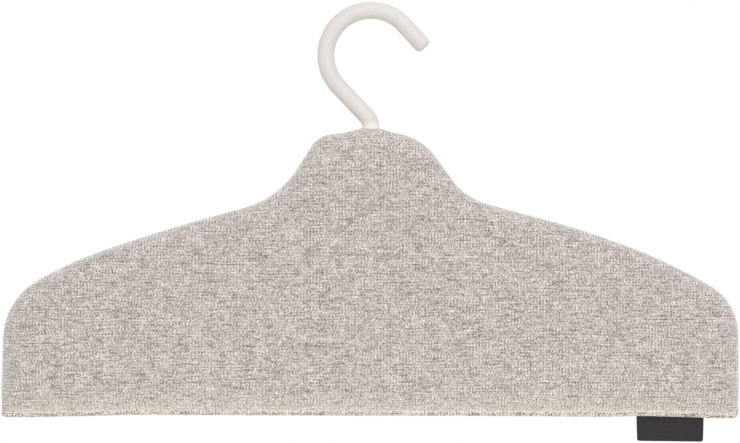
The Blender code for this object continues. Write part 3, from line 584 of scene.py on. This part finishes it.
def meshPlan(loop, sizes, hole=0.0):
    # points and triangles that fill a closed loop: rings along its edge, and an even grid inside
    s, cell = planSizes, sizes["cell"]
    inward, edge = inwardOf(loop), loop.copy()
    if hole:
        # the way round the rod, cut into the middle of the neck's top
        atRod = (np.abs(edge[:, 0]) < hole) & (edge[:, 1] > coverSizes["holeRaiseFrom"])
        depth = np.sqrt(np.clip(hole ** 2 - edge[atRod, 0] ** 2, 0, None))
        edge[atRod, 1] -= coverSizes["edgeRound"] * (1 - np.sqrt(1 - (depth / coverSizes["depth"]) ** 2))
    closedEdge = np.vstack([edge, edge[:1]])
    taken, inside = {}, []

    def offer(points, least):
        # keeps the points that are no nearer than that to a point kept before
        for x, y in points:
            home = (int(x // s["home"]), int(y // s["home"]))
            crowd = [other for i in (-1, 0, 1) for j in (-1, 0, 1)
                     for other in taken.get((home[0] + i, home[1] + j), ())]
            if all((x - a) ** 2 + (y - b) ** 2 > least ** 2 for a, b in crowd):
                taken.setdefault(home, []).append((x, y))
                inside.append((x, y))

    before = 0
    for k, inset in enumerate(sizes["rings"]):
        step = 1 if k < sizes["closeRings"] else 2
        ring = (loop + inward * inset)[::step]
        apart, _ = nearestPlace(ring, closedEdge)
        keep = s["keep"] * inset
        if hole:
            keep = min(keep, s["holeKeep"][0] + s["holeKeep"][1] * inset)
        offer(ring[apart > keep], s["apart"] * min(inset - before, outlineSizes["spacing"] * step))
        before = inset
    low, high = loop.min(0), loop.max(0)
    columns, rows = np.arange(low[0], high[0], cell), np.arange(low[1], high[1], cell * s["rowShare"])
    grid = np.array([(x + (j % 2) * cell / 2, y) for j, y in enumerate(rows) for x in columns])
    apart, _ = nearestPlace(grid, closedEdge)
    within = insideLoop(grid, edge) & (apart > sizes["rings"][-1] + cell / 2)
    offer(grid[within], s["apart"] * cell)
    flat = [Vector(p) for p in edge[::-1]] + [Vector(p) for p in inside]
    plan = delaunay_2d_cdt(flat, [], [list(range(len(edge)))], 1, s["weld"])
    # points in no triangle are dropped
    triangles = np.array([tuple(f) for f in plan[2]])
    used, renamed = np.unique(triangles, return_inverse=True)
    return np.array([tuple(v) for v in plan[0]])[used], [tuple(f) for f in renamed.reshape(-1, 3).tolist()]


def insideLoop(points, loop):
    # even-odd count of crossings, with a tiny length against dividing by zero
    tiny = 1e-12
    inside = np.zeros(len(points), bool)
    for (ax, ay), (bx, by) in zip(loop, np.roll(loop, -1, 0)):
        crosses = (ay > points[:, 1]) != (by > points[:, 1])
        inside ^= crosses & (points[:, 0] < (bx - ax) * (points[:, 1] - ay) / (by - ay + tiny) + ax)
    return inside


def rimEdges(triangles):
    # directed edges that only one triangle has
    edges = {(f[k], f[(k + 1) % 3]) for f in triangles for k in range(3)}
    return [(a, b) for a, b in edges if (b, a) not in edges]


def wallMesh(name, outer, inner, triangles, coordinates=None, mapName=None):
    # a closed wall from an outer and an inner layer that share their triangles
    count = len(outer)
    rim = rimEdges(triangles)
    faces = [*triangles, *[tuple(reversed([v + count for v in f])) for f in triangles],
             *[(b, a, a + count, b + count) for a, b in rim]]
    mesh = newMesh(name, [*map(tuple, outer), *map(tuple, inner)], [], faces)
    if coordinates is not None:
        layer = mesh.uv_layers.new(name=mapName)
        corners = np.zeros(len(mesh.loops), int)
        mesh.loops.foreach_get("vertex_index", corners)
        layer.data.foreach_set("uv", np.vstack([coordinates] * 2)[corners].ravel())
    mesh.update()
    return mesh


def pointNormals(points, triangles):
    faces = np.array(triangles)
    corners = points[faces]
    normals = np.cross(corners[:, 1] - corners[:, 0], corners[:, 2] - corners[:, 0])
    total = np.zeros_like(points)
    for k in range(3):
        np.add.at(total, faces[:, k], normals)
    return total / np.linalg.norm(total, axis=1)[:, None]


coverPlan, coverTriangles = meshPlan(outlineLoop, coverSizes, coverSizes["holeRadius"])
print("cover plan:", len(coverPlan), "points,", len(coverTriangles), "triangles")


settleSizes = {
    "frames": 14, "quality": 5, "weight": 0.3, "pressure": 1.6, "slack": 0.003,
    "stiffness": 70.0, "damping": 25, "bending": 3.0, "bendingDamping": 5, "airDamping": 5,
    "reach": 0.9, "sink": 0.1, "heldHeight": 3.6, "heldSide": 3.0,
}


def settleCloth(points, triangles, held):
    # a cloth simulation lets the knit puff up from its seams and stitches, as far as the reach
    s = settleSizes
    sheet = addObject("knit sheet", newMesh("knit sheet", points.tolist(), [], triangles))
    sheet.vertex_groups.new(name="held").add(held.tolist(), 1.0, "REPLACE")
    modifier = sheet.modifiers.new("settle", "CLOTH")
    modifier.collision_settings.use_collision = False
    modifier.point_cache.frame_start, modifier.point_cache.frame_end = 1, s["frames"]
    cloth = modifier.settings
    cloth.quality, cloth.mass, cloth.vertex_group_mass = s["quality"], s["weight"], "held"
    cloth.tension_stiffness = cloth.compression_stiffness = cloth.shear_stiffness = s["stiffness"]
    cloth.tension_damping = cloth.compression_damping = cloth.shear_damping = s["damping"]
    cloth.bending_stiffness, cloth.bending_damping = s["bending"], s["bendingDamping"]
    cloth.air_damping = s["airDamping"]
    cloth.shrink_min = cloth.shrink_max = -s["slack"]
    cloth.use_pressure, cloth.uniform_pressure_force = True, s["pressure"]
    cloth.effector_weights.gravity = 0
    for step in range(1, s["frames"] + 1):
        scene.frame_set(step)
    settled = np.zeros(points.size)
    sheet.evaluated_get(bpy.context.evaluated_depsgraph_get()).data.vertices.foreach_get("co", settled)
    bpy.data.objects.remove(sheet)
    scene.frame_set(1)
    moved = settled.reshape(-1, 3) - points
    # it can't sink into the pad, and it comes softly to the end of its reach
    normals = pointNormals(points, triangles)
    rise = (moved * normals).sum(1)
    moved += normals * (np.maximum(rise, -s["sink"] * mm) - rise)[:, None]
    length, reach = np.linalg.norm(moved, axis=1)[:, None], s["reach"] * mm
    print("cloth settled, most", round(float(length.max()) / mm, 2), "mm before the limit")
    return points + moved * reach / (reach + length)


def makePanel(name, node, side, seed):
    # facing out, the panel's triangles run the other way round on the rear
    triangles = coverTriangles if side < 0 else [tuple(reversed(f)) for f in coverTriangles]
    outer, knit, out = coverSurface(coverPlan, side)
    overHem = coverPlan[:, 1] - hemHeight(coverPlan[:, 0])
    overSide, _ = nearestPlace(coverPlan, sideLine)
    rim = np.unique(np.array(rimEdges(triangles)))
    seams = (overHem < settleSizes["heldHeight"]) | (overSide < settleSizes["heldSide"])
    outer = settleCloth(outer, triangles, np.union1d(rim, np.flatnonzero(seams)))
    normals = pointNormals(outer, triangles)
    normals[rim] = np.stack([out[rim, 0], 0 * rim, out[rim, 1]], 1)
    normals[rim[coverPlan[rim, 1] < outlineSizes["cornerHeight"]]] = (0, 0, -1)
    inner = outer - normals * coverSizes["fabric"] * mm
    mesh = wallMesh(name, outer, inner, triangles, knit, "knit")
    for title, values in (("overHem", overHem), ("overSide", overSide)):
        mesh.attributes.new(title, "FLOAT", "POINT").data.foreach_set("value", np.tile(values, 2))
    knitCloth = melangeKnit(name.replace("_", " ") + " melange knit", seed)
    piece = newPiece(name, mesh, knitCloth, "hanger_board")
    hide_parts(node)


makePanel("front_panel", "cover_front", side=-1, seed=3.0)
makePanel("rear_panel", "cover_rear", side=1, seed=11.0)
print("cover panels made")


# Foam pads, under the panels

padSizes = {"inset": 5.4, "hemInset": 12.2, "hemSpan": 214, "keep": 0.97, "inner": 8.3, "edge": 0.6,
            "gap": 0.5, "lining": 12.45, "liningRound": 10.8, "liningRun": 13.3, "liningHem": 4.7,
            "dimple": 0.12, "dimpleSize": 9, "dimpleSeed": 2.2,
            "rings": (1.2, 3.0, 5.5, 8.5, 12.0, 16.0), "closeRings": 0, "spacing": 3.0, "cell": 6.0}


def makePad(name, node, side):
    s = padSizes
    atHem = onHem & (np.abs(outlineLoop[:, 0]) < s["hemSpan"])
    moved = outlineLoop + inwardOf(outlineLoop) * np.where(atHem, s["hemInset"], s["inset"])[:, None]
    # points that have crossed into the other inset are dropped
    moved = moved[(nearestPlace(moved, sideLine)[0] > s["keep"] * s["inset"])
                  & (moved[:, 1] > hemHeight(moved[:, 0]) + s["keep"] * s["hemInset"])]
    plan, triangles = meshPlan(evenly(moved, s["spacing"]), s)
    if side > 0:
        triangles = [tuple(reversed(f)) for f in triangles]
    near = (nearestPlace(plan, sideLine)[0] - coverSizes["fabric"]) / s["liningRound"]
    hem = hemSwell(plan[:, 1] - hemHeight(plan[:, 0]), s["liningHem"], s["liningRun"])
    depth = s["lining"] * swellDepth(near, hem) - s["gap"]
    depth -= s["dimple"] * (1 + smoothNoise(plan, s["dimpleSize"], side * s["dimpleSeed"]))
    depth = np.maximum(depth, s["inner"] + s["edge"])
    outer = np.stack([plan[:, 0] * mm, side * depth * mm, hemLevel + plan[:, 1] * mm], 1)
    inner = outer.copy()
    inner[:, 1] = side * s["inner"] * mm
    piece = newPiece(name, wallMesh(name, outer, inner, triangles), foam, "hanger_board")
    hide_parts(node)


makePad("front_foam", "front_pad", side=-1)
makePad("rear_foam", "rear_pad", side=1)
print("foam pads made")


# Topstitching, along both faces of the hem

stitchSizes = {"length": 3.8, "radius": 0.46, "arch": 0.38, "sink": 0.3, "tilt": 0.17, "stray": 0.25,
               "shortest": 0.88, "longest": 1.06, "sides": 7, "standOff": 0.12,
               "span": 217.0, "lineStep": 1.5}


def randomBetween(tree, low, high, seed):
    return addNode(tree, "FunctionNodeRandomValue", {2: low, 3: high, "Seed": seed}).outputs[1]


def stitchTree():
    tree, given = newTree(
        "topstitch", Int=["Sides", "Seed"], Material=["Thread"],
        Float=["Pitch", "Length", "Radius", "Lift", "Sink", "Tilt", "Stray", "Shortest", "Longest"])
    # one stitch, arched over the cloth with its ends sunk in
    half = calc(tree, "MULTIPLY", given["Length"], 0.5)
    arch = addNode(tree, "GeometryNodeCurveQuadraticBezier", {
        "Resolution": given["Sides"],
        "Start": combine(tree, {0: calc(tree, "MULTIPLY", half, -1), 1: given["Sink"]}),
        "Middle": combine(tree, {1: given["Lift"]}), "End": combine(tree, {0: half, 1: given["Sink"]})})
    profile = addNode(tree, "GeometryNodeCurvePrimitiveCircle", {
        "Resolution": given["Sides"], "Radius": given["Radius"]})
    strand = addNode(tree, "GeometryNodeCurveToMesh", {
        "Curve": arch.outputs[0], "Profile Curve": profile.outputs[0], "Fill Caps": True})
    path = addNode(tree, "GeometryNodeMeshToCurve", {"Mesh": given["Path"]})
    places = addNode(tree, "GeometryNodeCurveToPoints", {"Curve": path.outputs[0], "Length": given["Pitch"]},
                     mode="LENGTH")
    # the stitches stray, lean and differ in size, each by its own seed
    straySeed, sizeSeed = [calc(tree, "ADD", given["Seed"], more) for more in (3, 7)]
    stray = randomBetween(tree, calc(tree, "MULTIPLY", given["Stray"], -1), given["Stray"], straySeed)
    astray = addNode(tree, "GeometryNodeSetPosition", {
        "Geometry": places.outputs[0], "Offset": combine(tree, {2: stray})})
    lean = randomBetween(tree, calc(tree, "MULTIPLY", given["Tilt"], -1), given["Tilt"], given["Seed"])
    size = randomBetween(tree, given["Shortest"], given["Longest"], sizeSeed)
    sown = addNode(tree, "GeometryNodeInstanceOnPoints", {
        "Points": astray.outputs[0], "Instance": strand.outputs[0], "Rotation": combine(tree, {1: lean}),
        "Scale": size})
    endTree(tree, sown.outputs[0], given["Thread"])
    return tree


def makeStitches(name, side, seed):
    s, c = stitchSizes, coverSizes
    across = np.arange(-s["span"], s["span"], s["lineStep"])
    line = np.stack([across, hemHeight(across) + c["stitchHeight"]], 1)
    points, _, _ = coverSurface(line, side)
    points[:, 1] += side * s["standOff"] * mm
    mesh = growMesh(topstitch, lineMesh("stitch line", points.tolist()), {
        "Pitch": c["stitchPitch"] * mm, "Length": s["length"] * mm, "Radius": s["radius"] * mm,
        "Lift": 2 * side * s["arch"] * mm, "Sink": -side * s["sink"] * mm, "Tilt": s["tilt"],
        "Stray": s["stray"] * mm, "Shortest": s["shortest"], "Longest": s["longest"], "Sides": s["sides"],
        "Seed": seed, "Thread": sewingThread})
    newPiece(name, mesh, sewingThread, "hanger_board")


topstitch = stitchTree()
makeStitches("front_topstitch", side=-1, seed=4)
makeStitches("rear_topstitch", side=1, seed=5)
print("hem stitched")


# Label: a bare ribbon, folded and caught in the hem

labelSizes = {"left": 159.4, "right": 199.6, "top": 3.0, "drop": 14.3, "thickness": 0.36, "gap": 0.3,
              "tilt": 0.012, "taper": 0.02, "cornerRise": 0.8, "cornerRound": 1.3, "opening": 1.6,
              "bow": 0.35, "bowWidth": 16, "bowHeight": 9, "bowSeed": 2.5,
              "cell": 0.8, "columns": 50, "selvedge": 0.4, "foldSteps": 9, "foldStart": 0.01}


def makeLabel():
    s = labelSizes
    # the ribbon's section, down the front, round the fold and up the back
    half = (s["gap"] + s["thickness"]) / 2
    foldMiddle = half - s["drop"]
    straight = list(np.arange(s["top"], foldMiddle, -s["cell"]))
    turns = np.linspace(s["foldStart"], math.pi - s["foldStart"], s["foldSteps"])
    section = [(-half, z) for z in straight]
    section += [(-half * math.cos(a), foldMiddle - half * math.sin(a)) for a in turns]
    section += [(half, z) for z in reversed(straight)]
    run = runAlong(np.array(section))
    columns = np.unique([*np.linspace(s["left"], s["right"], s["columns"]), s["left"] + s["selvedge"],
                         s["right"] - s["selvedge"]])
    middle = (s["left"] + s["right"]) / 2
    outer, inner, weave = [], [], []
    ways = rightOf(np.gradient(np.array(section), axis=0))
    for x in columns:
        for (y, z), (wayY, wayZ), length in zip(section, ways, run):
            # it hangs a little bowed, opened, tilted and tapered, with its corners lifted
            hanging = min(max(-z / s["drop"], 0), 1)
            bow = s["bow"] * hanging * noise.noise((x / s["bowWidth"], z / s["bowHeight"], s["bowSeed"]))
            opened = 1 + s["opening"] * math.sin(math.pi * hanging)
            nearEnd = max(0, 1 - min(x - s["left"], s["right"] - x) / s["cornerRound"])
            sag = s["cornerRise"] * nearEnd ** 2 * hanging ** 6 - s["tilt"] * (x - middle) * hanging
            narrowed = x - s["taper"] * (x - middle) * hanging
            for layer, reach in ((outer, s["thickness"] / 2), (inner, -s["thickness"] / 2)):
                layer.append((narrowed * mm, (y * opened + wayY * reach + bow) * mm,
                              hemLevel + (z + wayZ * reach + sag) * mm))
            weave.append((x, length))
    count = len(section)
    starts = [(i * count + j, (i + 1) * count + j) for i in range(len(columns) - 1) for j in range(count - 1)]
    triangles = [f for a, b in starts for f in ((a, a + 1, b + 1), (a, b + 1, b))]
    mesh = wallMesh("label_ribbon", np.array(outer), np.array(inner), triangles, np.array(weave), "weave")
    piece = newPiece("label_ribbon", mesh, ribbonCloth, "hanger_board")
    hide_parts("label")


makeLabel()
print("label made")


# Hook: one rod, bent round the rail and down into the neck

hookSizes = {"rod": 5.1, "bowl": 27.0, "swan": 11.0, "swanAngle": 46.5, "tipAngle": 47.5, "tipLength": 18.6,
             "tipRound": 3.0, "spigot": 3.0, "seatRise": 0.3, "seatStep": 0.01,
             "sides": 40, "bendSteps": 20, "bowlSteps": 90, "tipStep": 1.5, "tipSteps": 12}


def onCircle(middle, radius, angle):
    return middle + radius * Vector((math.sin(angle), 0, math.cos(angle)))


def hookLine():
    # centre points from the spigot's lower end up to the tip, in the plane of the board
    s = hookSizes
    slope, tip = math.radians(s["swanAngle"]), math.radians(s["tipAngle"])
    drop = (s["bowl"] * math.cos(slope) + s["swan"] * math.cos(slope)
            + math.tan(slope) * (s["bowl"] * math.sin(slope) - s["swan"] * (1 - math.sin(slope))))
    bowlMiddle = Vector((0, 0, s["rod"] - s["bowl"]))
    swanMiddle = Vector((-s["swan"], 0, bowlMiddle.z - drop))
    # the thin spigot ends just over the bush, where the rod begins with a step
    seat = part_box("swivel_bush")[1].z / mm + s["seatRise"]
    points = [Vector((0, 0, z)) for z in (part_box("hook")[0].z / mm, seat - s["seatStep"], seat)]
    points += [onCircle(swanMiddle, s["swan"], a) for a in np.linspace(math.pi / 2, slope, s["bendSteps"])]
    points += [onCircle(bowlMiddle, s["bowl"], a) for a in np.linspace(slope - math.pi, tip, s["bowlSteps"])]
    start, way = points[-1], Vector((math.cos(tip), 0, -math.sin(tip)))
    straight = np.arange(s["tipStep"], s["tipLength"] - s["tipRound"], s["tipStep"])
    turns = np.linspace(0, math.pi / 2, s["tipSteps"])
    lastRound = [s["tipLength"] - s["tipRound"] * (1 - math.sin(a)) for a in turns]
    points += [start + way * run for run in [*straight, *lastRound]]
    return [tuple(p * mm) for p in points], (seat - s["seatStep"] / 2 - points[0].z) * mm


def hookTree():
    tree, given = newTree("bent rod", Int=["Sides"], Material=["Coating"],
                          Float=["Rod radius", "Spigot radius", "Spigot length", "Tip round"])
    path = addNode(tree, "GeometryNodeMeshToCurve", {"Mesh": given["Path"]}).outputs[0]
    run = addNode(tree, "GeometryNodeSplineParameter").outputs["Length"]
    whole = addNode(tree, "GeometryNodeSplineLength").outputs["Length"]
    # near the tip the radius falls as a quarter circle does
    fromTip = calc(tree, "DIVIDE", calc(tree, "SUBTRACT", whole, run), given["Tip round"])
    back = calc(tree, "SUBTRACT", 1.0, calc(tree, "MINIMUM", fromTip, 1.0))
    square = calc(tree, "SUBTRACT", 1.0, calc(tree, "POWER", back, 2.0))
    profile = calc(tree, "SQRT", calc(tree, "MAXIMUM", square, 0.0))
    flat = calc(tree, "SUBTRACT", given["Rod radius"], given["Tip round"])
    rod = calc(tree, "MULTIPLY_ADD", profile, given["Tip round"], flat)
    isRod = calc(tree, "GREATER_THAN", run, given["Spigot length"])
    thick = addNode(tree, "GeometryNodeSwitch", {
        "Switch": isRod, "False": given["Spigot radius"], "True": rod}, input_type="FLOAT").outputs[0]
    ring = addNode(tree, "GeometryNodeCurvePrimitiveCircle", {"Resolution": given["Sides"], "Radius": 1.0})
    swept = addNode(tree, "GeometryNodeCurveToMesh", {
        "Curve": path, "Profile Curve": ring.outputs[0], "Scale": thick, "Fill Caps": True})
    endTree(tree, swept.outputs[0], given["Coating"])
    return tree


def makeHook():
    s = hookSizes
    points, spigotLength = hookLine()
    mesh = growMesh(hookTree(), lineMesh("hook line", points), {
        "Rod radius": s["rod"] * mm, "Spigot radius": s["spigot"] * mm, "Spigot length": spigotLength,
        "Tip round": s["tipRound"] * mm, "Sides": s["sides"], "Coating": powderCoat})
    piece = newPiece("rod_hook", mesh, powderCoat, "hook_assembly")
    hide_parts("hook")


makeHook()
print("hook made")


# Finishes of the pieces that stay as the frame has them, inside the cover

finishes = {"swivel_bush": acetal, "front_shell": polypropylene, "rear_shell": polypropylene}
# the screws, washer and nut are zinc plated
for name, node in nodes.items():
    if not node.hide_render:
        node.material_slots[0].material = finishes.get(name, zincPlate)


# Studio: pale floor, soft light, and the camera square on

studio = {
    "world": 0.78, "floor": "f4f2ef", "floorSize": 3.0, "floorLevel": -0.9,
    # each lamp: place, width and height in metres, power, colour
    "key": ((0.35, -2.1, 0.7), 1.8, 1.8, 18.6, "ffffff"),
    "top": ((0.2, -0.35, 1.3), 1.4, 1.0, 2.4, "ffffff"),
    "underHem": ((0.0, -0.030, -0.272), 0.46, 0.012, 0.0245, "ffe8d6"),
    "lampAim": (0, 0, -0.15),
    "cameraPlace": (-0.00052, -1.8, -0.1216), "viewWidth": 0.444,
}


def makeWorld():
    # soft white light from all round, which the camera, gloss and clear parts see as plain white
    world = bpy.data.worlds.new("studio")
    scene.world = world
    world.use_nodes = True
    tree = world.node_tree
    tree.nodes.clear()
    path = addNode(tree, "ShaderNodeLightPath").outputs
    seen = calc(tree, "MAXIMUM", path["Is Camera Ray"],
                calc(tree, "MAXIMUM", path["Is Glossy Ray"], path["Is Transmission Ray"]))
    light, white = [addNode(tree, "ShaderNodeBackground", {"Color": (1, 1, 1, 1), "Strength": s}).outputs[0]
                    for s in (studio["world"], 1.0)]
    mixed = addNode(tree, "ShaderNodeMixShader", {0: seen, 1: light, 2: white})
    addNode(tree, "ShaderNodeOutputWorld", {"Surface": mixed.outputs[0]})


def makeFloor():
    half, level = studio["floorSize"] / 2, studio["floorLevel"]
    corners = [(-half, -half, level), (half, -half, level), (half, half, level), (-half, half, level)]
    floor = addObject("floor", newMesh("floor", corners, [], [(0, 1, 2, 3)]))
    material, _, shader = newMaterial("matt studio floor")
    setSockets(shader, Base_Color=toLinear(studio["floor"]), Roughness=0.9)
    floor.data.materials.append(material)


def makeLamp(name, place, width, height, power, hexText):
    lamp = bpy.data.lights.new(name, "AREA")
    lamp.shape = "RECTANGLE"
    lamp.size, lamp.size_y, lamp.energy, lamp.color = width, height, power, toLinear(hexText)[:3]
    item = addObject(name, lamp)
    item.location = place
    item.visible_camera = False
    item.rotation_euler = (Vector(studio["lampAim"]) - Vector(place)).to_track_quat("-Z", "Y").to_euler()


def makeCamera():
    camera = bpy.data.cameras.new("camera")
    item = addObject("camera", camera)
    item.location = studio["cameraPlace"]
    item.rotation_euler = (math.pi / 2, 0, 0)
    camera.sensor_width = 36.0
    camera.lens = camera.sensor_width * -studio["cameraPlace"][1] / studio["viewWidth"]
    scene.camera = item


makeWorld()
makeFloor()
for lampName in ("key", "top", "underHem"):
    makeLamp(lampName, *studio[lampName])
makeCamera()
scene.view_settings.view_transform = "Standard"

print("scene ready")
